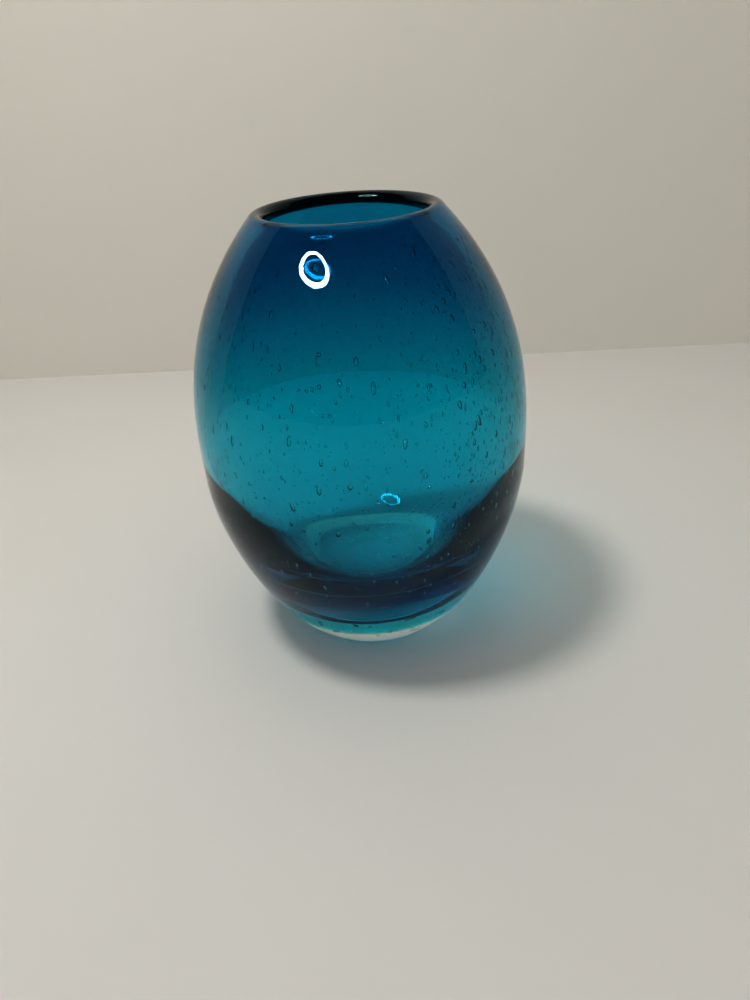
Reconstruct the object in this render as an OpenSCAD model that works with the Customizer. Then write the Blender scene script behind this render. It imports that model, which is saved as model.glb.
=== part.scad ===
// Hand blown art glass vase: a coloured glass body on a clear glass base.
// Every solid is turned about the Z axis. The base rests on the plane z = 0.

/* [Body] */
// Height from the foot to the top of the lip
vase_h = 165; // [130:1:200]
// Outside radius at the belly
belly_r = 63.2; // [52:0.2:76]
// Height of the belly
belly_z = 71.6; // [58:0.2:86]
// Radius of the flat foot
foot_r = 33; // [27:0.5:40]
// Angle at which the side leaves the foot, from level
foot_angle = 42; // [36:1:56]
// Slope of the shoulder where it meets the lip, from level
shoulder_angle = 47; // [40:1:55]

/* [Mouth] */
// Radius of the opening
mouth_r = 28; // [22:0.5:34]
// Radius of the round, fire-polished lip
lip_r = 3.0; // [2.4:0.1:3.6]
// Angle from level at which the inside leaves the lip
throat_angle = 48; // [40:1:60]

/* [Wall] */
// Glass thickness at the belly
wall_t = 4.0; // [3:0.1:6]
// Height of the widest part of the cavity
cavity_z = 80; // [66:0.5:94]
// Height of the cavity floor above the foot
floor_h = 15; // [11:0.5:22]

/* [Clear base] */
// Height of the clear glass on the outside of the vase
clear_edge_h = 14; // [10:0.5:18]
// Height at which the clear glass thins out on the wall of the cavity
clear_top_h = 40; // [32:0.5:52]
// How far the coloured skirt reaches in under the cavity
skirt_w = 24; // [10:1:30]

/* [Hidden] */

// Facets of the turned surfaces
turn_fn = 96;
// Steps along each curve
side_steps = 26;
throat_steps = 18;
lip_out_steps = 4;
lip_in_steps = 10;
seam_steps = 14;

// How far each curve holds its direction at its two ends
foot_pull = 22;
belly_pull_down = 20.2;
belly_pull_up = 18.3;
shoulder_pull = 49.5;
throat_pull = 22;
cavity_pull_up = 28;
cavity_pull_down = 12;
floor_pull = 48;
seam_pull = 6;

// Angle between the seam and the wall of the cavity, where the clear glass thins out
seam_lift = 24;

cavity_r = belly_r - wall_t;
lip_c = [mouth_r + lip_r, vase_h - lip_r];
lip_start = 90 - shoulder_angle;
lip_end = 180 + throat_angle;

function unit(a) = [cos(a), sin(a)];

// Point at t on the cubic curve from p to s, pulled towards q and r
function curve_at(p, q, r, s, t) =
    pow(1 - t, 3) * p + 3 * pow(1 - t, 2) * t * q + 3 * (1 - t) * t * t * r + pow(t, 3) * s;

function curve(p, q, r, s, steps) = [for (i = [0:steps]) curve_at(p, q, r, s, i / steps)];

// Arc about the centre c from the angle a to the angle b
function arc(c, r, a, b, steps) = [for (i = [0:steps]) c + r * unit(a + (b - a) * i / steps)];

// A list without its first point, and a list from its last point to its first
function rest(points) = [for (i = [1:len(points) - 1]) points[i]];
function reverse(points) = [for (i = [len(points) - 1:-1:0]) points[i]];

// A curve's first part, and its last part, each cut off level at the height z
function below(points, z) = [for (p = points) if (p[1] < z) p];
function above(points, z) = [for (p = points) if (p[1] > z) p];

// Radius at which a rising line of points reaches the height z
function radius_at(points, z) = lookup(z, [for (p = points) [p[1], p[0]]]);

// Slope, from level, of a rising line of points at the height z
function slope_at(points, z) = atan2(2, radius_at(points, z + 1) - radius_at(points, z - 1));

foot_p = [foot_r, 0];
belly_p = [belly_r, belly_z];
lip_out_p = lip_c + lip_r * unit(lip_start);
lip_in_p = lip_c + lip_r * unit(lip_end);
cavity_p = [cavity_r, cavity_z];
floor_p = [0, floor_h];

side_low = curve(foot_p, foot_p + foot_pull * unit(foot_angle), belly_p - [0, belly_pull_down], belly_p, side_steps);
side_high = curve(belly_p, belly_p + [0, belly_pull_up], lip_out_p + shoulder_pull * unit(-shoulder_angle),
                  lip_out_p, side_steps);
lip_out = arc(lip_c, lip_r, lip_start, 90, lip_out_steps);
lip_in = arc(lip_c, lip_r, 90, lip_end, lip_in_steps);
throat = curve(lip_in_p, lip_in_p + throat_pull * unit(lip_end + 90), cavity_p + [0, cavity_pull_up],
               cavity_p, throat_steps);
bowl = curve(cavity_p, cavity_p - [0, cavity_pull_down], [floor_pull, floor_h], floor_p, side_steps);

// The seam between the two glasses, from the outside of the foot to the wall of the cavity
edge_p = [radius_at(side_low, clear_edge_h), clear_edge_h];
thin_p = [radius_at(reverse(bowl), clear_top_h), clear_top_h];
seam_angle = slope_at(reverse(bowl), clear_top_h) + seam_lift;
seam = curve(edge_p, edge_p - [skirt_w, 0], thin_p - seam_pull * unit(seam_angle), thin_p, seam_steps);

// Turns an outline of [radius, height] points
module turned(outline) {
    rotate_extrude($fn = turn_fn) polygon(outline);
}

// Coloured glass: the lip, the wall and the skirt over the clear glass
module coloured_body() {
    outside = concat([edge_p], above(side_low, clear_edge_h), rest(side_high), rest(lip_out), rest(lip_in));
    inside = concat(rest(throat), rest(above(bowl, clear_top_h)));
    underside = [for (i = [seam_steps:-1:1]) seam[i]];
    color("teal") turned(concat(outside, inside, underside));
}

// Clear glass: the thick foot and the floor of the cavity, fused inside the coloured skirt
module clear_base() {
    outside = concat([[0, 0]], below(side_low, clear_edge_h), seam);
    color("whitesmoke", 0.5) turned(concat(outside, below(bowl, clear_top_h)));
}

coloured_body();
clear_base();
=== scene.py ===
"""Hand blown art glass vase: a teal glass body over a clear glass base, with trapped air bubbles."""
import logging
import math
from dataclasses import dataclass, field
from enum import Enum

import bpy
import numpy as np
from mathutils import Matrix, Vector


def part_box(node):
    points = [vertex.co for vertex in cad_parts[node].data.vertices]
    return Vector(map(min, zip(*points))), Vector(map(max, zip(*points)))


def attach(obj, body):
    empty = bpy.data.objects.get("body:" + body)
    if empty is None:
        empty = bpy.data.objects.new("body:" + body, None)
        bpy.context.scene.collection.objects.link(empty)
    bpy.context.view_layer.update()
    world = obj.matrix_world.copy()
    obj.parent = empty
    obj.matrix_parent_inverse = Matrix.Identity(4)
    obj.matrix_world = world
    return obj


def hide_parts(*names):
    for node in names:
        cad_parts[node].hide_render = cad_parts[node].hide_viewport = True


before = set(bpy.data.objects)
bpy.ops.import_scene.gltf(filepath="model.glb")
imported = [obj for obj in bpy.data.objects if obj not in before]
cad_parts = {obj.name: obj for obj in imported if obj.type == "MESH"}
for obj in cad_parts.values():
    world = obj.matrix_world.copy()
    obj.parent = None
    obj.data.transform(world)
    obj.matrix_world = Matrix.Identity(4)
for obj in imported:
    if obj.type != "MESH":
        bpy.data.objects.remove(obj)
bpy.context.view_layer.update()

MM = 0.001
WHITE = (1.0, 1.0, 1.0)
SHARP_ANGLE = 28.0
SEAM_MARGIN = 0.3
STREAK_SCALE = 38.0
STREAK_DETAIL = 3.0
STREAK_SQUEEZE = (1.0, 1.0, 0.35)

log = logging.getLogger("vase")

Colour = tuple[float, float, float]
Place = tuple[float, float, float]


class Face(Enum):
    """What a stretch of glass surface touches. The value is stored on its faces as "fused"."""

    FREE = 0.0
    SEAM = 1.0


def heading(degrees: float) -> np.ndarray:
    """Return the unit direction that lies this many degrees above level."""
    return np.array([math.cos(math.radians(degrees)), math.sin(math.radians(degrees))])


def bend(p: np.ndarray, q: np.ndarray, r: np.ndarray, s: np.ndarray, steps: int) -> np.ndarray:
    """Draw a smooth curve between two points.

    Args:
        p: Where the curve starts.
        q: The point that the start pulls towards.
        r: The point that the end pulls towards.
        s: Where the curve ends.
        steps: How many steps the curve is drawn in.

    Returns:
        The points along the curve, one row each.
    """
    t = np.linspace(0.0, 1.0, steps + 1)[:, None]
    return (1 - t) ** 3 * p + 3 * (1 - t) ** 2 * t * q + 3 * (1 - t) * t * t * r + t**3 * s


def sweep(centre: np.ndarray, radius: float, start: float, end: float, steps: int) -> np.ndarray:
    """Draw an arc.

    Args:
        centre: Centre of the arc.
        radius: Radius of the arc.
        start: First angle, in degrees above level.
        end: Last angle, in degrees above level.
        steps: How many steps the arc is drawn in.

    Returns:
        The points along the arc, one row each.
    """
    return np.array([centre + radius * heading(a) for a in np.linspace(start, end, steps + 1)])


def radius_at(line: np.ndarray, height: float) -> float:
    """Return the radius at which a line of (radius, height) points reaches a height."""
    order = np.argsort(line[:, 1])
    return float(np.interp(height, line[order, 1], line[order, 0]))


@dataclass(frozen=True)
class VaseShape:
    """The turned shape of the vase in millimetres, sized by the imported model's boxes."""

    height: float
    widest: float
    edge_height: float
    heart_height: float
    belly_swell: float = 0.1229
    belly_height: float = 71.6
    foot_radius: float = 33.0
    foot_angle: float = 42.0
    foot_round: float = 0.9
    shoulder_angle: float = 47.0
    mouth_radius: float = 28.0
    lip_radius: float = 3.0
    throat_angle: float = 48.0
    wall: float = 4.0
    cavity_height: float = 80.0
    floor_height: float = 15.0
    skirt: float = 24.0
    seam_lift: float = 24.0
    foot_pull: float = 22.0
    belly_pull_down: float = 20.2
    belly_pull_up: float = 18.3
    shoulder_pull: float = 49.5
    throat_pull: float = 22.0
    cavity_pull_up: float = 28.0
    cavity_pull_down: float = 12.0
    floor_pull: float = 48.0
    seam_pull: float = 6.0
    side_low_steps: int = 56
    side_high_steps: int = 60
    lip_steps: int = 20
    throat_steps: int = 44
    bowl_steps: int = 48
    seam_steps: int = 32
    foot_edge_steps: int = 6

    @classmethod
    def from_frame(cls) -> "VaseShape":
        """Read the vase's height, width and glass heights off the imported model."""
        body_low, body_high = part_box("coloured_body")
        base_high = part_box("clear_base")[1]
        return cls(body_high.z / MM, body_high.x / MM, body_low.z / MM, base_high.z / MM)

    @property
    def belly(self) -> np.ndarray:
        """Return the outside point at the belly."""
        return np.array([self.widest - self.belly_swell, self.belly_height])

    @property
    def lip_centre(self) -> np.ndarray:
        """Return the centre of the round lip's section."""
        return np.array([self.mouth_radius + self.lip_radius, self.height - self.lip_radius])

    def side_low(self) -> np.ndarray:
        """Draw the outside from the foot up to the belly."""
        foot = np.array([self.foot_radius, 0.0])
        start = foot + self.foot_pull * heading(self.foot_angle)
        return bend(foot, start, self.belly - [0, self.belly_pull_down], self.belly, self.side_low_steps)

    def side_high(self) -> np.ndarray:
        """Draw the outside from the belly up to the lip."""
        end = self.lip_centre + self.lip_radius * heading(90 - self.shoulder_angle)
        pull = end + self.shoulder_pull * heading(-self.shoulder_angle)
        return bend(self.belly, self.belly + [0, self.belly_pull_up], pull, end, self.side_high_steps)

    def lip(self) -> np.ndarray:
        """Draw the round lip from the outside over to the inside."""
        start, end = 90 - self.shoulder_angle, 180 + self.throat_angle
        return sweep(self.lip_centre, self.lip_radius, start, end, self.lip_steps)

    def throat(self) -> np.ndarray:
        """Draw the inside from the lip down to the widest part of the cavity."""
        start = self.lip_centre + self.lip_radius * heading(180 + self.throat_angle)
        widest = np.array([self.belly[0] - self.wall, self.cavity_height])
        pull = start + self.throat_pull * heading(270 + self.throat_angle)
        return bend(start, pull, widest + [0, self.cavity_pull_up], widest, self.throat_steps)

    def bowl(self) -> np.ndarray:
        """Draw the inside from the widest part of the cavity down to its floor on the axis."""
        widest = np.array([self.belly[0] - self.wall, self.cavity_height])
        floor = np.array([0.0, self.floor_height])
        pull = widest - [0, self.cavity_pull_down]
        return bend(widest, pull, floor + [self.floor_pull, 0], floor, self.bowl_steps)

    def edge_point(self) -> np.ndarray:
        """Return the outside point where the coloured glass starts."""
        return np.array([radius_at(self.side_low(), self.edge_height), self.edge_height])

    def thin_point(self) -> np.ndarray:
        """Return the point on the cavity wall where the clear glass thins out."""
        return np.array([radius_at(self.bowl(), self.heart_height), self.heart_height])

    def seam(self) -> np.ndarray:
        """Draw the seam between the two glasses from the outside in to the cavity wall."""
        run = radius_at(self.bowl(), self.heart_height + 1) - radius_at(self.bowl(), self.heart_height - 1)
        slope = math.degrees(math.atan2(2, run)) + self.seam_lift
        edge, thin = self.edge_point(), self.thin_point()
        pull = thin - self.seam_pull * heading(slope)
        return bend(edge, edge - [self.skirt, 0], pull, thin, self.seam_steps)

    def foot_edge(self) -> np.ndarray:
        """Draw the small rounding between the flat foot and the side."""
        corner = np.array([self.foot_radius, 0.0])
        start = corner - [self.foot_round, 0]
        end = corner + self.foot_round * heading(self.foot_angle)
        return bend(start, (start + 2 * corner) / 3, (end + 2 * corner) / 3, end, self.foot_edge_steps)


@dataclass(frozen=True)
class HandWork:
    """The gentle unevenness that blowing and turning by hand leave in the glass, in millimetres."""

    depth: float = 0.05
    waves: int = 7
    seed: int = 11

    def swell(self, angle: np.ndarray, height: np.ndarray) -> np.ndarray:
        """Return the unevenness over the wall.

        Args:
            angle: Angle round the axis, in radians.
            height: Height, in millimetres.

        Returns:
            A value between about -1 and 1 at each place.
        """
        rng = np.random.default_rng(self.seed)
        total = np.zeros(np.broadcast(angle, height).shape)
        for _ in range(self.waves):
            turns = rng.integers(1, 5)
            rise = rng.uniform(0.03, 0.12) * rng.choice([-1, 1])
            total += np.sin(turns * angle + rise * height + rng.uniform(0, 2 * math.pi))
        return total / math.sqrt(self.waves) / 1.5


@dataclass(frozen=True)
class Stretch:
    """A stretch of an outline: its points, what it touches, and how uneven it is."""

    points: np.ndarray
    face: Face = Face.FREE
    uneven: float = 0.0
    inward_only: bool = False


@dataclass(frozen=True)
class Lathe:
    """Turns a closed outline about the vase's axis into a closed mesh."""

    facets: int = 180
    hand: HandWork = field(default_factory=HandWork)

    def offsets(self, outline: np.ndarray, uneven: np.ndarray, inward: np.ndarray) -> np.ndarray:
        """Work out how far each turned point moves along the surface's normal.

        Args:
            outline: The outline's points.
            uneven: Depth of the unevenness at each point, in millimetres.
            inward: 1 where the surface only moves into the glass, 0 elsewhere.

        Returns:
            The offset of each outline point at each facet.
        """
        angle = np.arange(self.facets) * 2 * math.pi / self.facets
        wave = self.hand.swell(angle[None, :], outline[:, 1][:, None])
        wave = np.where(inward[:, None] > 0, -0.5 - 0.5 * np.clip(wave, -1, 1), wave)
        return wave * uneven[:, None]

    def turn(self, name: str, stretches: list[Stretch], closed: bool) -> bpy.types.Object:
        """Turn an outline.

        Args:
            name: Name of the piece.
            stretches: The outline in order, up the outside and down the inside.
            closed: True for a ring, False for an outline that starts and ends on the axis.

        Returns:
            The turned piece, with the attribute "fused" on its faces.
        """
        outline = np.vstack([s.points for s in stretches])
        uneven = np.concatenate([np.full(len(s.points), s.uneven) for s in stretches])
        inward = np.concatenate([np.full(len(s.points), float(s.inward_only)) for s in stretches])
        faces_of = np.concatenate([np.full(len(s.points), s.face.value) for s in stretches])
        after, before = np.roll(outline, -1, axis=0), np.roll(outline, 1, axis=0)
        run = after - before
        normal = np.stack([run[:, 1], -run[:, 0]], 1)
        normal /= np.maximum(np.linalg.norm(normal, axis=1), 1e-9)[:, None]
        shift = self.offsets(outline, uneven, inward)
        angle = np.arange(self.facets) * 2 * math.pi / self.facets
        radius = outline[:, 0][:, None] + normal[:, 0][:, None] * shift
        height = outline[:, 1][:, None] + normal[:, 1][:, None] * shift
        corners: list[tuple[float, float, float]] = []
        rings: list[list[int]] = []
        for i, (r, z) in enumerate(outline):
            if r < 1e-6:
                rings.append([len(corners)] * self.facets)
                corners.append((0.0, 0.0, z * MM))
                continue
            rings.append(list(range(len(corners), len(corners) + self.facets)))
            corners += zip(radius[i] * np.cos(angle) * MM, radius[i] * np.sin(angle) * MM, height[i] * MM)
        faces, fused = [], []
        for i in range(len(rings) if closed else len(rings) - 1):
            low, high = rings[i], rings[(i + 1) % len(rings)]
            for k in range(self.facets):
                k2 = (k + 1) % self.facets
                quad = list(dict.fromkeys((low[k], low[k2], high[k2], high[k])))
                if len(quad) > 2:
                    faces.append(quad)
                    fused.append(faces_of[i])
        mesh = bpy.data.meshes.new(name)
        mesh.from_pydata([tuple(map(float, c)) for c in corners], [], faces)
        mesh.attributes.new("fused", "FLOAT", "FACE").data.foreach_set("value", fused)
        mesh.polygons.foreach_set("use_smooth", [True] * len(faces))
        mesh.update()
        mesh.set_sharp_from_angle(angle=math.radians(SHARP_ANGLE))
        piece = bpy.data.objects.new(name, mesh)
        bpy.context.scene.collection.objects.link(piece)
        return piece


class GroupMaker:
    """Makes the shader node groups that the finishes share."""

    @staticmethod
    def blown_glass() -> bpy.types.NodeTree:
        """Make the group that gives blown glass its tint by height, its streaks and its faint ripple.

        Returns:
            The node group, with its tint, its ripple height, and how much the face bends light: 0
            where it is fused to the other glass, and less than 1 on a bubble.
        """
        tree = bpy.data.node_groups.new("blown_glass", "ShaderNodeTree")
        sockets = tree.interface
        for label, kind, default in (
            ("Body Tint", "NodeSocketColor", (1, 1, 1, 1)),
            ("Neck Tint", "NodeSocketColor", (1, 1, 1, 1)),
            ("Neck Start", "NodeSocketFloat", 0.09),
            ("Neck End", "NodeSocketFloat", 0.15),
            ("Streak", "NodeSocketFloat", 0.05),
            ("Ripple Scale", "NodeSocketFloat", 60.0),
            ("Bubble Faintness", "NodeSocketFloat", 0.5),
        ):
            socket = sockets.new_socket(name=label, in_out="INPUT", socket_type=kind)
            socket.default_value = default
        sockets.new_socket(name="Tint", in_out="OUTPUT", socket_type="NodeSocketColor")
        sockets.new_socket(name="Ripple", in_out="OUTPUT", socket_type="NodeSocketFloat")
        sockets.new_socket(name="Bare", in_out="OUTPUT", socket_type="NodeSocketFloat")
        nodes, links = tree.nodes, tree.links
        given, out = nodes.new("NodeGroupInput"), nodes.new("NodeGroupOutput")
        place = nodes.new("ShaderNodeTexCoord")
        apart = nodes.new("ShaderNodeSeparateXYZ")
        links.new(place.outputs["Object"], apart.inputs[0])
        rise = nodes.new("ShaderNodeMapRange")
        rise.interpolation_type = "SMOOTHSTEP"
        links.new(apart.outputs["Z"], rise.inputs["Value"])
        links.new(given.outputs["Neck Start"], rise.inputs["From Min"])
        links.new(given.outputs["Neck End"], rise.inputs["From Max"])
        tint = nodes.new("ShaderNodeMix")
        tint.data_type = "RGBA"
        links.new(rise.outputs["Result"], tint.inputs["Factor"])
        links.new(given.outputs["Body Tint"], tint.inputs["A"])
        links.new(given.outputs["Neck Tint"], tint.inputs["B"])
        squeeze = nodes.new("ShaderNodeMapping")
        squeeze.inputs["Scale"].default_value = STREAK_SQUEEZE
        links.new(place.outputs["Object"], squeeze.inputs["Vector"])
        streaks = nodes.new("ShaderNodeTexNoise")
        streaks.inputs["Scale"].default_value = STREAK_SCALE
        streaks.inputs["Detail"].default_value = STREAK_DETAIL
        links.new(squeeze.outputs["Vector"], streaks.inputs["Vector"])
        amount = nodes.new("ShaderNodeMath")
        amount.operation = "MULTIPLY"
        links.new(streaks.outputs["Fac"], amount.inputs[0])
        links.new(given.outputs["Streak"], amount.inputs[1])
        keep = nodes.new("ShaderNodeMath")
        keep.operation = "SUBTRACT"
        keep.inputs[0].default_value = 1.0
        links.new(amount.outputs[0], keep.inputs[1])
        shade = nodes.new("ShaderNodeVectorMath")
        shade.operation = "SCALE"
        links.new(tint.outputs["Result"], shade.inputs[0])
        links.new(keep.outputs[0], shade.inputs["Scale"])
        trapped = nodes.new("ShaderNodeAttribute")
        trapped.attribute_name = "bubble"
        untinted = nodes.new("ShaderNodeMix")
        untinted.data_type = "RGBA"
        untinted.inputs["B"].default_value = (*WHITE, 1.0)
        links.new(trapped.outputs["Fac"], untinted.inputs["Factor"])
        links.new(shade.outputs[0], untinted.inputs["A"])
        links.new(untinted.outputs["Result"], out.inputs["Tint"])
        ripple = nodes.new("ShaderNodeTexNoise")
        ripple.inputs["Detail"].default_value = 1.0
        links.new(place.outputs["Object"], ripple.inputs["Vector"])
        links.new(given.outputs["Ripple Scale"], ripple.inputs["Scale"])
        links.new(ripple.outputs["Fac"], out.inputs["Ripple"])
        joined = nodes.new("ShaderNodeAttribute")
        joined.attribute_name = "fused"
        faint = nodes.new("ShaderNodeMath")
        faint.operation = "MULTIPLY"
        links.new(trapped.outputs["Fac"], faint.inputs[0])
        links.new(given.outputs["Bubble Faintness"], faint.inputs[1])
        lost = nodes.new("ShaderNodeMath")
        lost.operation = "ADD"
        links.new(joined.outputs["Fac"], lost.inputs[0])
        links.new(faint.outputs[0], lost.inputs[1])
        bare = nodes.new("ShaderNodeMath")
        bare.operation = "SUBTRACT"
        bare.inputs[0].default_value = 1.0
        links.new(lost.outputs[0], bare.inputs[1])
        links.new(bare.outputs[0], out.inputs["Bare"])
        return tree


@dataclass(frozen=True)
class Glass:
    """A blown glass finish. The uptake is how much light a millimetre takes from each colour."""

    name: str
    uptake: Colour
    ior: float = 1.5
    body_tint: Colour = WHITE
    neck_tint: Colour = WHITE
    neck_start: float = 0.100
    neck_end: float = 0.152
    streak: float = 0.04
    ripple_scale: float = 55.0
    ripple_depth: float = 0.00002
    bubble_faintness: float = 0.25
    shine_tint: Colour = WHITE

    def make(self, marks: bpy.types.NodeTree) -> bpy.types.Material:
        """Make the material.

        Args:
            marks: The shared group of blown glass marks.

        Returns:
            The finished material.
        """
        material = bpy.data.materials.new(self.name)
        material.use_nodes = True
        nodes, links = material.node_tree.nodes, material.node_tree.links
        nodes.clear()
        out = nodes.new("ShaderNodeOutputMaterial")
        glass = nodes.new("ShaderNodeBsdfPrincipled")
        glass.inputs["Roughness"].default_value = 0.0
        glass.inputs["IOR"].default_value = self.ior
        glass.inputs["Transmission Weight"].default_value = 1.0
        glass.inputs["Specular Tint"].default_value = (*self.shine_tint, 1.0)
        links.new(glass.outputs["BSDF"], out.inputs["Surface"])
        self.add_uptake(material, out)
        made = nodes.new("ShaderNodeGroup")
        made.node_tree = marks
        made.inputs["Body Tint"].default_value = (*self.body_tint, 1.0)
        made.inputs["Neck Tint"].default_value = (*self.neck_tint, 1.0)
        made.inputs["Neck Start"].default_value = self.neck_start
        made.inputs["Neck End"].default_value = self.neck_end
        made.inputs["Streak"].default_value = self.streak
        made.inputs["Ripple Scale"].default_value = self.ripple_scale
        made.inputs["Bubble Faintness"].default_value = self.bubble_faintness
        links.new(made.outputs["Tint"], glass.inputs["Base Color"])
        links.new(made.outputs["Bare"], glass.inputs["Alpha"])
        bump = nodes.new("ShaderNodeBump")
        bump.inputs["Strength"].default_value = 1.0
        bump.inputs["Distance"].default_value = self.ripple_depth
        links.new(made.outputs["Ripple"], bump.inputs["Height"])
        links.new(bump.outputs["Normal"], glass.inputs["Normal"])
        return material

    def add_uptake(self, material: bpy.types.Material, out: bpy.types.Node) -> None:
        """Give the material the absorption that colours thick glass more deeply than thin.

        Args:
            material: The material to change.
            out: Its output node.
        """
        strongest = max(self.uptake)
        if strongest <= 0:
            return
        soak = material.node_tree.nodes.new("ShaderNodeVolumeAbsorption")
        soak.inputs["Density"].default_value = strongest / MM
        soak.inputs["Color"].default_value = (*[1 - u / strongest for u in self.uptake], 1.0)
        material.node_tree.links.new(soak.outputs["Volume"], out.inputs["Volume"])


class BubbleSize(Enum):
    """Kinds of trapped bubble: (least, most) half width in millimetres, stretch, and sides round it."""

    BEAD = (0.42, 0.85, 2.6, 8)
    FLECK = (0.18, 0.40, 2.4, 5)
    SEED = (0.08, 0.19, 1.5, 5)


@dataclass(frozen=True)
class BubbleBatch:
    """Bubbles of one kind, strewn inside a wall of glass."""

    size: BubbleSize
    per_square_metre: float
    apart: float
    seed: int
    flatness: float = 0.5

    def tree(self) -> bpy.types.NodeTree:
        """Make the Geometry Nodes tree that strews the bubbles.

        Returns:
            The tree, with named inputs for the sizes.
        """
        tree = bpy.data.node_groups.new("bubbles_" + self.size.name.lower(), "GeometryNodeTree")
        sockets = tree.interface
        sockets.new_socket(name="Geometry", in_out="INPUT", socket_type="NodeSocketGeometry")
        for label in ("Density", "Apart", "Least", "Most", "Stretch"):
            sockets.new_socket(name=label, in_out="INPUT", socket_type="NodeSocketFloat")
        sockets.new_socket(name="Seed", in_out="INPUT", socket_type="NodeSocketInt")
        sockets.new_socket(name="Glass", in_out="INPUT", socket_type="NodeSocketMaterial")
        sockets.new_socket(name="Geometry", in_out="OUTPUT", socket_type="NodeSocketGeometry")
        nodes, links = tree.nodes, tree.links
        given, out = nodes.new("NodeGroupInput"), nodes.new("NodeGroupOutput")
        crowd = self.attribute(tree, "crowd", "FLOAT")
        room = self.attribute(tree, "room", "FLOAT")
        run = self.attribute(tree, "run", "FLOAT_VECTOR")
        strew = nodes.new("GeometryNodeDistributePointsOnFaces")
        strew.distribute_method = "POISSON"
        links.new(given.outputs["Geometry"], strew.inputs["Mesh"])
        links.new(given.outputs["Apart"], strew.inputs["Distance Min"])
        links.new(given.outputs["Density"], strew.inputs["Density Max"])
        links.new(crowd, strew.inputs["Density Factor"])
        links.new(given.outputs["Seed"], strew.inputs["Seed"])
        width = nodes.new("FunctionNodeRandomValue")
        width.data_type = "FLOAT"
        links.new(given.outputs["Least"], width.inputs[2])
        links.new(given.outputs["Most"], width.inputs[3])
        links.new(given.outputs["Seed"], width.inputs["Seed"])
        depth = nodes.new("FunctionNodeRandomValue")
        depth.data_type = "FLOAT"
        depth.inputs[2].default_value = -1.0
        depth.inputs[3].default_value = 1.0
        links.new(self.plus(tree, given.outputs["Seed"], 1), depth.inputs["Seed"])
        spare = self.math(tree, "SUBTRACT", room, width.outputs[1])
        spare = self.math(tree, "MAXIMUM", spare, None, 0.0)
        away = self.math(tree, "MULTIPLY", spare, depth.outputs[1])
        push = nodes.new("ShaderNodeVectorMath")
        push.operation = "SCALE"
        links.new(strew.outputs["Normal"], push.inputs[0])
        links.new(away, push.inputs["Scale"])
        move = nodes.new("GeometryNodeSetPosition")
        links.new(strew.outputs["Points"], move.inputs["Geometry"])
        links.new(push.outputs[0], move.inputs["Offset"])
        lean = nodes.new("FunctionNodeRandomValue")
        lean.data_type = "FLOAT_VECTOR"
        lean.inputs[0].default_value = (-0.25, -0.25, -0.25)
        lean.inputs[1].default_value = (0.25, 0.25, 0.25)
        links.new(self.plus(tree, given.outputs["Seed"], 2), lean.inputs["Seed"])
        aim = nodes.new("ShaderNodeVectorMath")
        aim.operation = "ADD"
        links.new(run, aim.inputs[0])
        links.new(lean.outputs[0], aim.inputs[1])
        turn = nodes.new("FunctionNodeAlignRotationToVector")
        turn.axis = "Z"
        links.new(aim.outputs[0], turn.inputs["Vector"])
        face = nodes.new("FunctionNodeAlignRotationToVector")
        face.axis = "X"
        face.pivot_axis = "Z"
        links.new(turn.outputs["Rotation"], face.inputs["Rotation"])
        links.new(strew.outputs["Normal"], face.inputs["Vector"])
        longer = nodes.new("FunctionNodeRandomValue")
        longer.data_type = "FLOAT"
        longer.inputs[2].default_value = 1.0
        links.new(given.outputs["Stretch"], longer.inputs[3])
        links.new(self.plus(tree, given.outputs["Seed"], 3), longer.inputs["Seed"])
        length = self.math(tree, "MULTIPLY", width.outputs[1], longer.outputs[1])
        size = nodes.new("ShaderNodeCombineXYZ")
        links.new(self.math(tree, "MULTIPLY", width.outputs[1], None, self.flatness), size.inputs["X"])
        links.new(width.outputs[1], size.inputs["Y"])
        links.new(length, size.inputs["Z"])
        ball = nodes.new("GeometryNodeMeshUVSphere")
        ball.inputs["Radius"].default_value = 1.0
        ball.inputs["Segments"].default_value = self.size.value[3]
        ball.inputs["Rings"].default_value = self.size.value[3] - 2
        place = nodes.new("GeometryNodeInstanceOnPoints")
        links.new(move.outputs["Geometry"], place.inputs["Points"])
        links.new(ball.outputs["Mesh"], place.inputs["Instance"])
        links.new(face.outputs["Rotation"], place.inputs["Rotation"])
        links.new(size.outputs["Vector"], place.inputs["Scale"])
        real = nodes.new("GeometryNodeRealizeInstances")
        links.new(place.outputs["Instances"], real.inputs["Geometry"])
        inside_out = nodes.new("GeometryNodeFlipFaces")
        links.new(real.outputs["Geometry"], inside_out.inputs["Mesh"])
        smooth = nodes.new("GeometryNodeSetShadeSmooth")
        links.new(inside_out.outputs["Mesh"], smooth.inputs["Geometry"])
        mark = nodes.new("GeometryNodeStoreNamedAttribute")
        mark.data_type = "FLOAT"
        mark.domain = "FACE"
        mark.inputs["Name"].default_value = "bubble"
        mark.inputs["Value"].default_value = 1.0
        links.new(smooth.outputs["Geometry"], mark.inputs["Geometry"])
        paint = nodes.new("GeometryNodeSetMaterial")
        links.new(mark.outputs["Geometry"], paint.inputs["Geometry"])
        links.new(given.outputs["Glass"], paint.inputs["Material"])
        links.new(paint.outputs["Geometry"], out.inputs["Geometry"])
        return tree

    @staticmethod
    def attribute(tree: bpy.types.NodeTree, name: str, kind: str) -> bpy.types.NodeSocket:
        """Return the output of a node that reads a named attribute."""
        node = tree.nodes.new("GeometryNodeInputNamedAttribute")
        node.data_type = kind
        node.inputs["Name"].default_value = name
        return node.outputs["Attribute"]

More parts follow.
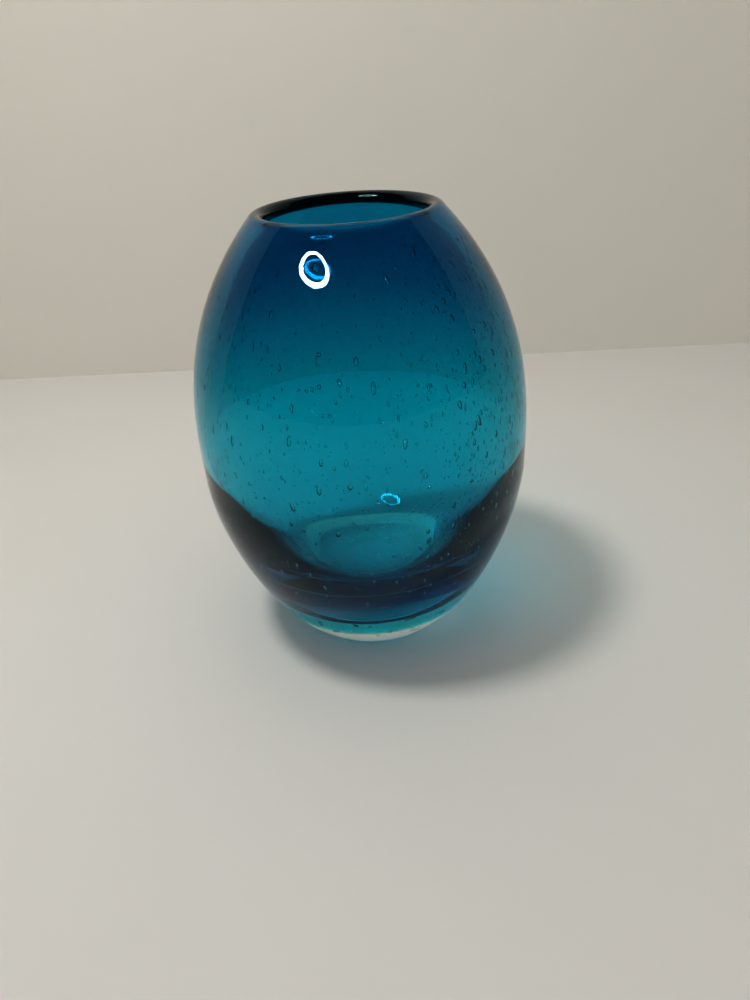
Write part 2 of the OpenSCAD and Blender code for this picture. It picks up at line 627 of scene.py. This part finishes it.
    @staticmethod
    def math(tree: bpy.types.NodeTree, operation: str, first: bpy.types.NodeSocket,
             second: bpy.types.NodeSocket | None, value: float = 0.0) -> bpy.types.NodeSocket:
        """Join two values by arithmetic.

        Args:
            tree: The tree to work in.
            operation: The sum to do.
            first: The first value.
            second: The second value, or None to use a number.
            value: The number, where there is no second value.

        Returns:
            The result's socket.
        """
        node = tree.nodes.new("ShaderNodeMath")
        node.operation = operation
        tree.links.new(first, node.inputs[0])
        if second is None:
            node.inputs[1].default_value = value
        else:
            tree.links.new(second, node.inputs[1])
        return node.outputs[0]

    @classmethod
    def plus(cls, tree: bpy.types.NodeTree, seed: bpy.types.NodeSocket, step: int) -> bpy.types.NodeSocket:
        """Return a seed that lies a few steps on from another."""
        return cls.math(tree, "ADD", seed, None, float(step))

    def strew(self, guide: bpy.types.Object, glass: bpy.types.Material) -> bpy.types.Object:
        """Strew the bubbles along a guide surface and make them a plain mesh.

        Args:
            guide: Surface down the middle of the glass.
            glass: The glass round the bubbles.

        Returns:
            The bubbles as one object.
        """
        tree = self.tree()
        least, most, stretch, _ = self.size.value
        given = {
            "Density": self.per_square_metre,
            "Apart": self.apart * MM,
            "Least": least * MM,
            "Most": most * MM,
            "Stretch": stretch,
            "Seed": self.seed,
            "Glass": glass,
        }
        modifier = guide.modifiers.new("bubbles", "NODES")
        modifier.node_group = tree
        for item in tree.interface.items_tree:
            if item.in_out == "INPUT" and item.name in given:
                modifier[item.identifier] = given[item.name]
        guide.update_tag()
        graph = bpy.context.evaluated_depsgraph_get()
        mesh = bpy.data.meshes.new_from_object(guide.evaluated_get(graph), depsgraph=graph)
        guide.modifiers.remove(modifier)
        bubbles = bpy.data.objects.new("bubbles", mesh)
        bpy.context.scene.collection.objects.link(bubbles)
        return bubbles


@dataclass
class GlassPiece:
    """A turned piece of glass with bubbles inside it."""

    shape: VaseShape
    marks: bpy.types.NodeTree
    lathe: Lathe = field(default_factory=Lathe)
    gap: float = 0.02
    guide_facets: int = 72
    bubble_cover: float = 0.35

    name = "glass"
    slot = "clear_glass"
    node = "clear_base"

    def finish(self) -> Glass:
        """Return the glass that the piece is made of."""
        raise NotImplementedError

    def stretches(self) -> list[Stretch]:
        """Return the outline of the piece."""
        raise NotImplementedError

    def batches(self) -> list[BubbleBatch]:
        """Return the bubbles in the piece."""
        raise NotImplementedError

    def banks(self) -> tuple[np.ndarray, np.ndarray]:
        """Return the two faces, as lines, that the bubbles lie between."""
        raise NotImplementedError

    def crowding(self, angle: np.ndarray, height: np.ndarray) -> np.ndarray:
        """Return how crowded the bubbles are, from 0 to 1, at each place round the wall."""
        right = 0.5 + 0.5 * np.cos(angle + math.radians(8))
        left = 0.5 + 0.5 * np.cos(angle - math.radians(175))
        low = np.clip((105 - height) / 50, 0, 1)
        return np.clip(0.10 + 0.12 * low + 0.9 * right**4 + 0.35 * left**6, 0, 1)

    def guide(self) -> bpy.types.Object:
        """Make the surface down the middle of the glass that the bubbles are strewn along.

        Returns:
            The guide, with the attributes crowd, room and run at its points.
        """
        one, other = self.banks()
        middle, half = [], []
        for point in one:
            nearest = other[np.argmin(np.linalg.norm(other - point, axis=1))]
            middle.append((point + nearest) / 2)
            half.append(np.linalg.norm(point - nearest) / 2)
        line, half = np.array(middle), np.array(half)
        run = np.gradient(line, axis=0)
        run /= np.maximum(np.linalg.norm(run, axis=1), 1e-9)[:, None]
        facets = self.guide_facets
        angle = np.arange(facets) * 2 * math.pi / facets
        points = np.stack([
            line[:, 0][:, None] * np.cos(angle),
            line[:, 0][:, None] * np.sin(angle),
            np.repeat(line[:, 1][:, None], facets, 1),
        ], -1).reshape(-1, 3) * MM
        ways = np.stack([
            run[:, 0][:, None] * np.cos(angle),
            run[:, 0][:, None] * np.sin(angle),
            np.repeat(run[:, 1][:, None], facets, 1),
        ], -1).reshape(-1, 3)
        faces = [
            (i * facets + k, i * facets + (k + 1) % facets,
             (i + 1) * facets + (k + 1) % facets, (i + 1) * facets + k)
            for i in range(len(line) - 1) for k in range(facets)
        ]
        mesh = bpy.data.meshes.new("bubble_guide")
        mesh.from_pydata([tuple(map(float, p)) for p in points], [], faces)
        crowd = self.crowding(np.tile(angle, len(line)), np.repeat(line[:, 1], facets))
        room = np.repeat(np.maximum(half - self.bubble_cover, 0) * MM, facets)
        mesh.attributes.new("crowd", "FLOAT", "POINT").data.foreach_set("value", crowd.astype(np.float32))
        mesh.attributes.new("room", "FLOAT", "POINT").data.foreach_set("value", room.astype(np.float32))
        mesh.attributes.new("run", "FLOAT_VECTOR", "POINT").data.foreach_set(
            "vector", ways.astype(np.float32).ravel())
        guide = bpy.data.objects.new("bubble_guide", mesh)
        bpy.context.scene.collection.objects.link(guide)
        return guide

    def build(self) -> bpy.types.Object:
        """Turn the piece, dress it, fill it with bubbles and tie it to the frame.

        Returns:
            The finished piece.
        """
        piece = self.lathe.turn(self.name, self.stretches(), self.is_ring())
        free = self.finish().make(self.marks)
        piece.data.materials.append(free)
        guide = self.guide()
        guide.data.materials.append(free)
        counts = []
        parts = [piece]
        for batch in self.batches():
            bubbles = batch.strew(guide, free)
            faces = batch.size.value[3] * (batch.size.value[3] - 2)
            counts.append(f"{len(bubbles.data.polygons) // faces} {batch.size.name.lower()}s")
            parts.append(bubbles)
        bpy.data.objects.remove(guide)
        with bpy.context.temp_override(active_object=piece, object=piece, selected_objects=parts,
                                       selected_editable_objects=parts):
            bpy.ops.object.join()
        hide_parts(self.node)
        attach(piece, "root")
        log.info("%s: %d faces, %s", self.name, len(piece.data.polygons), ", ".join(counts))
        return piece

    def is_ring(self) -> bool:
        """Return True if the outline never meets the axis."""
        return True


@dataclass
class ColouredBody(GlassPiece):
    """The teal wall and lip, and the skirt that reaches in under the cavity."""

    name = "teal_body"
    slot = "coloured_glass"
    node = "coloured_body"

    def finish(self) -> Glass:
        """Return the teal glass, which deepens to navy towards the neck."""
        return Glass(
            "teal_glass", (0.54, 0.047, 0.030), body_tint=(0.86, 0.95, 1.0),
            neck_tint=(0.30, 0.38, 0.60), shine_tint=(0.55, 0.9, 1.0),
        )

    def stretches(self) -> list[Stretch]:
        """Return the outline up the outside, over the lip, down the inside and back along the seam."""
        shape, uneven = self.shape, self.lathe.hand.depth
        low = shape.side_low()
        low = low[low[:, 1] > shape.edge_height + SEAM_MARGIN]
        bowl = shape.bowl()
        bowl = bowl[bowl[:, 1] > shape.heart_height + SEAM_MARGIN]
        seam = shape.seam()[::-1]
        shift = np.array([self.gap, 0.0])
        return [
            Stretch(np.vstack([[shape.edge_point() + [0, self.gap]], low]), Face.FREE, uneven, True),
            Stretch(shape.side_high()[1:], Face.FREE, uneven, True),
            Stretch(shape.lip()[1:], Face.FREE, 0.0),
            Stretch(shape.throat()[1:6], Face.FREE, 0.3 * uneven),
            Stretch(shape.throat()[6:], Face.FREE, uneven),
            Stretch(bowl[1:], Face.FREE, uneven),
            Stretch(seam[:1] + [0, self.gap], Face.SEAM, uneven),
            Stretch(seam[1:-1] + shift, Face.SEAM),
        ]

    def batches(self) -> list[BubbleBatch]:
        """Return the beads, flecks and seeds in the wall."""
        return [
            BubbleBatch(BubbleSize.BEAD, 30000, 2.4, 3),
            BubbleBatch(BubbleSize.FLECK, 90000, 1.4, 7),
            BubbleBatch(BubbleSize.SEED, 32000, 1.3, 12),
        ]

    def banks(self) -> tuple[np.ndarray, np.ndarray]:
        """Return the cavity's wall with the seam, and the outside."""
        shape = self.shape
        bowl = shape.bowl()
        bowl = bowl[bowl[:, 1] > shape.heart_height]
        seam = shape.seam()[::-1]
        inside = np.vstack([shape.throat()[4:-1], bowl, seam[2:-2]])
        return inside, np.vstack([shape.side_low(), shape.side_high()])


@dataclass
class ClearBase(GlassPiece):
    """The clear foot and the clear heart under the cavity's floor."""

    name = "clear_foot"
    slot = "clear_glass"
    node = "clear_base"

    def finish(self) -> Glass:
        """Return the clear glass."""
        tint = (0.99, 1.0, 1.0)
        return Glass("clear_glass", (0.0010, 0.0004, 0.0006), body_tint=tint, neck_tint=tint)

    def stretches(self) -> list[Stretch]:
        """Return the outline from the axis out over the foot, up the seam and down the cavity's floor."""
        shape, uneven = self.shape, self.lathe.hand.depth
        foot = np.array([[0.0, 0.0], [10.0, 0.0], [20.0, 0.0], [28.0, 0.0]])
        low = shape.side_low()
        low = low[(low[:, 1] < shape.edge_height - SEAM_MARGIN) & (low[:, 1] > shape.foot_round)]
        bowl = shape.bowl()
        bowl = bowl[bowl[:, 1] < shape.heart_height - SEAM_MARGIN]
        seam = shape.seam()
        return [
            Stretch(np.vstack([foot, shape.foot_edge()]), Face.FREE, 0.0),
            Stretch(low, Face.FREE, uneven, True),
            Stretch(seam[:1], Face.SEAM, uneven, True),
            Stretch(seam[1:-1], Face.SEAM),
            Stretch(seam[-1:], Face.FREE, uneven),
            Stretch(bowl[:-1], Face.FREE, uneven),
            Stretch(bowl[-1:], Face.FREE, 0.0),
        ]

    def batches(self) -> list[BubbleBatch]:
        """Return the few beads and the many seeds in the base."""
        return [
            BubbleBatch(BubbleSize.BEAD, 6000, 4.0, 21),
            BubbleBatch(BubbleSize.FLECK, 22000, 2.2, 23),
            BubbleBatch(BubbleSize.SEED, 50000, 1.2, 29),
        ]

    def banks(self) -> tuple[np.ndarray, np.ndarray]:
        """Return the cavity's floor, and the foot with the seam."""
        shape = self.shape
        bowl = shape.bowl()
        bowl = bowl[(bowl[:, 1] < shape.heart_height - 6) & (bowl[:, 0] > 2)]
        foot = np.array([[r, 0.0] for r in range(0, int(shape.foot_radius))])
        low = shape.side_low()
        low = low[low[:, 1] < shape.edge_height]
        return bowl, np.vstack([foot, low, shape.seam()])

    def is_ring(self) -> bool:
        """Return False, because the base is solid on its axis."""
        return False


@dataclass(frozen=True)
class Paint:
    """A matt studio surface with a faint mottle."""

    name: str
    colour: Colour
    mottle: float = 0.03

    def make(self) -> bpy.types.Material:
        """Make the material."""
        material = bpy.data.materials.new(self.name)
        material.use_nodes = True
        nodes, links = material.node_tree.nodes, material.node_tree.links
        matt = nodes["Principled BSDF"]
        matt.inputs["Roughness"].default_value = 0.9
        matt.inputs["Specular IOR Level"].default_value = 0.1
        place = nodes.new("ShaderNodeTexCoord")
        noise = nodes.new("ShaderNodeTexNoise")
        noise.inputs["Scale"].default_value = 9.0
        links.new(place.outputs["Object"], noise.inputs["Vector"])
        mix = nodes.new("ShaderNodeMix")
        mix.data_type = "RGBA"
        mix.inputs["A"].default_value = (*self.colour, 1.0)
        mix.inputs["B"].default_value = (*[c * (1 - self.mottle) for c in self.colour], 1.0)
        links.new(noise.outputs["Fac"], mix.inputs["Factor"])
        links.new(mix.outputs["Result"], matt.inputs["Base Color"])
        return material


@dataclass
class Studio:
    """The plain table, the wall behind it, the round lamp, the soft surroundings and the camera."""

    wall_distance: float = 0.297
    wall_turn: float = -0.078
    lamp_place: Place = (-0.262, -0.275, 0.675)
    lamp_aim: Place = (0.0, 0.0, 0.675)
    lamp_radii: tuple[float, float] = (0.130, 0.097)
    lamp_glow: float = 45.0
    softbox_place: Place = (-0.235, -0.060, 0.80)
    softbox_aim: Place = (0.0, 0.0, 0.08)
    softbox_radius: float = 0.065
    softbox_glow: float = 43.0
    through_radius: float = 0.16
    through_glow: float = 22.0
    surroundings: Colour = (0.36, 0.355, 0.345)
    through_surroundings: Colour = (0.85, 0.86, 0.90)
    dim_surroundings: Colour = (0.05, 0.055, 0.06)
    camera_place: Place = (0.0, -0.26987, 0.20876)
    camera_turn: tuple[float, float, float] = (0.010004, 0.535947, -0.073322)
    lens: float = 27.04
    reach: float = 3.0
    table_past_wall: float = 0.5
    wall_height: float = 1.2
    ring_steps: int = 64
    disc_steps: int = 48

    def sheet(self, name: str, corners: list[tuple[float, float, float]], paint: bpy.types.Material
              ) -> bpy.types.Object:
        """Make a flat studio surface.

        Args:
            name: Name of the surface.
            corners: Its four corners, in metres.
            paint: Its material.

        Returns:
            The surface.
        """
        mesh = bpy.data.meshes.new(name)
        mesh.from_pydata(corners, [], [(0, 1, 2, 3)])
        mesh.materials.append(paint)
        surface = bpy.data.objects.new(name, mesh)
        bpy.context.scene.collection.objects.link(surface)
        return surface

    def table_and_wall(self) -> None:
        """Lay the table just under the foot, and stand the wall behind it."""
        far, back, drop = self.reach, self.wall_distance, -0.0002
        past, top = self.table_past_wall, self.wall_height
        lean = self.wall_turn * far
        self.sheet("table", [(-far, -far, drop), (far, -far, drop), (far, back + past, drop),
                             (-far, back + past, drop)], Paint("table_paint", (0.76, 0.745, 0.715)).make())
        self.sheet("wall", [(-far, back - lean, -0.01), (far, back + lean, -0.01), (far, back + lean, top),
                            (-far, back - lean, top)], Paint("wall_paint", (0.82, 0.79, 0.73)).make())

    def glowing(self, name: str, points: list[tuple[float, float, float]], faces: list[tuple[int, ...]],
                glow: float, place: Place, aim: Place, bounced: bool = False) -> bpy.types.Object:
        """Make a flat glowing shape.

        Args:
            name: Name of the shape.
            points: Its points, about its own centre.
            faces: Its faces.
            glow: How strongly it glows.
            place: Where it stands.
            aim: The point that it faces.
            bounced: True if only light that has met the table or the wall sees the glow.

        Returns:
            The shape, hidden from the camera.
        """
        material = bpy.data.materials.new(name)
        material.use_nodes = True
        nodes = material.node_tree.nodes
        nodes.clear()
        out, shine = nodes.new("ShaderNodeOutputMaterial"), nodes.new("ShaderNodeEmission")
        shine.inputs["Color"].default_value = (1.0, 0.98, 0.95, 1.0)
        if bounced:
            strength = self.bounced_only(material.node_tree)
            strength.inputs[1].default_value = glow
            material.node_tree.links.new(strength.outputs[0], shine.inputs["Strength"])
        else:
            shine.inputs["Strength"].default_value = glow
        material.node_tree.links.new(shine.outputs["Emission"], out.inputs["Surface"])
        mesh = bpy.data.meshes.new(name)
        mesh.from_pydata(points, [], faces)
        mesh.materials.append(material)
        lamp = bpy.data.objects.new(name, mesh)
        bpy.context.scene.collection.objects.link(lamp)
        lamp.location = Vector(place)
        lamp.rotation_mode = "QUATERNION"
        lamp.rotation_quaternion = (Vector(place) - Vector(aim)).to_track_quat("Z", "Y")
        lamp.visible_camera = False
        return lamp

    def round_lamp(self) -> None:
        """Stand the ring lamp up to the left of the camera, for its bright round reflection."""
        outer, inner = self.lamp_radii
        steps = self.ring_steps
        points: list[tuple[float, float, float]] = []
        faces: list[tuple[int, ...]] = []
        for k in range(steps):
            a = 2 * math.pi * k / steps
            points += [(r * math.cos(a), r * math.sin(a), 0) for r in (outer, inner)]
            n = 2 * ((k + 1) % steps)
            faces.append((2 * k, n, n + 1, 2 * k + 1))
        lamp = self.glowing("round_lamp", points, faces, self.lamp_glow, self.lamp_place, self.lamp_aim)
        lamp.visible_diffuse = False

    @staticmethod
    def bounced_only(tree: bpy.types.NodeTree) -> bpy.types.Node:
        """Return a node giving its second input to light that has met a matt surface, or else 0."""
        path = tree.nodes.new("ShaderNodeLightPath")
        once = tree.nodes.new("ShaderNodeMath")
        once.operation = "MINIMUM"
        once.inputs[1].default_value = 1.0
        tree.links.new(path.outputs["Diffuse Depth"], once.inputs[0])
        scale = tree.nodes.new("ShaderNodeMath")
        scale.operation = "MULTIPLY"
        tree.links.new(once.outputs[0], scale.inputs[0])
        return scale

    def softboxes(self) -> None:
        """Hang a soft light up to the left for the table, and one for the glow through the glass."""
        steps = self.disc_steps
        turns = [2 * math.pi * k / steps for k in range(steps)]
        disc = [(math.cos(a), math.sin(a), 0.0) for a in turns]
        near = [tuple(c * self.softbox_radius for c in p) for p in disc]
        light = self.glowing("softbox", near, [tuple(range(steps))], self.softbox_glow,
                             self.softbox_place, self.softbox_aim)
        light.visible_glossy = False
        light.visible_transmission = False
        wide = [tuple(c * self.through_radius for c in p) for p in disc]
        glow = self.glowing("through_light", wide, [tuple(range(steps))], self.through_glow,
                            self.softbox_place, self.softbox_aim, bounced=True)
        glow.visible_glossy = False
        glow.visible_diffuse = False
        glow.visible_shadow = False

    def soft_light(self) -> None:
        """Fill the room with soft light, brighter through the glass and dim in what the gloss mirrors."""
        world = bpy.data.worlds.new("soft_room")
        bpy.context.scene.world = world
        world.use_nodes = True
        tree = world.node_tree
        nodes, links = tree.nodes, tree.links
        path = nodes.new("ShaderNodeLightPath")
        through = self.bounced_only(tree)
        links.new(path.outputs["Is Transmission Ray"], through.inputs[1])
        bright = nodes.new("ShaderNodeMix")
        bright.data_type = "RGBA"
        bright.inputs["A"].default_value = (*self.surroundings, 1.0)
        bright.inputs["B"].default_value = (*self.through_surroundings, 1.0)
        links.new(through.outputs[0], bright.inputs["Factor"])
        mirrored = nodes.new("ShaderNodeMix")
        mirrored.data_type = "RGBA"
        links.new(bright.outputs["Result"], mirrored.inputs["A"])
        mirrored.inputs["B"].default_value = (*self.dim_surroundings, 1.0)
        inside = nodes.new("ShaderNodeMath")
        inside.operation = "SUBTRACT"
        inside.use_clamp = True
        links.new(path.outputs["Is Glossy Ray"], inside.inputs[0])
        links.new(path.outputs["Transmission Depth"], inside.inputs[1])
        links.new(inside.outputs[0], mirrored.inputs["Factor"])
        links.new(mirrored.outputs["Result"], nodes["Background"].inputs["Color"])

    def camera(self) -> None:
        """Set the camera a little above the vase, looking down at it."""
        yaw, pitch, roll = self.camera_turn
        ahead = Vector((math.sin(yaw) * math.cos(pitch), math.cos(yaw) * math.cos(pitch), -math.sin(pitch)))
        right = Vector((math.cos(yaw), -math.sin(yaw), 0))
        up = right.cross(ahead)
        side = right * math.cos(roll) + up * math.sin(roll)
        top = up * math.cos(roll) - right * math.sin(roll)
        data = bpy.data.cameras.new("camera")
        data.lens = self.lens
        data.sensor_width = 36.0
        data.clip_start = 0.01
        camera = bpy.data.objects.new("camera", data)
        bpy.context.scene.collection.objects.link(camera)
        axes = Matrix((side, top, -ahead)).transposed()
        camera.matrix_world = Matrix.Translation(self.camera_place) @ axes.to_4x4()
        bpy.context.scene.camera = camera

    def build(self) -> None:
        """Build the studio and set how light is traced and shown."""
        self.camera()
        self.table_and_wall()
        self.round_lamp()
        self.softboxes()
        self.soft_light()
        scene = bpy.context.scene
        scene.view_settings.view_transform = "Standard"
        scene.view_settings.look = "High Contrast"
        scene.cycles.max_bounces = 24
        scene.cycles.transmission_bounces = 24
        scene.cycles.transparent_max_bounces = 32
        scene.cycles.glossy_bounces = 8
        scene.cycles.diffuse_bounces = 3
        scene.cycles.sample_clamp_indirect = 40.0
        log.info("studio: table, wall, round lamp, soft light and camera")


def main() -> None:
    """Build the vase and the studio in order."""
    logging.basicConfig(level=logging.INFO, format="%(name)s: %(message)s")
    shape = VaseShape.from_frame()
    marks = GroupMaker.blown_glass()
    Studio().build()
    ClearBase(shape, marks).build()
    ColouredBody(shape, marks).build()


if __name__ == "__main__":
    main()
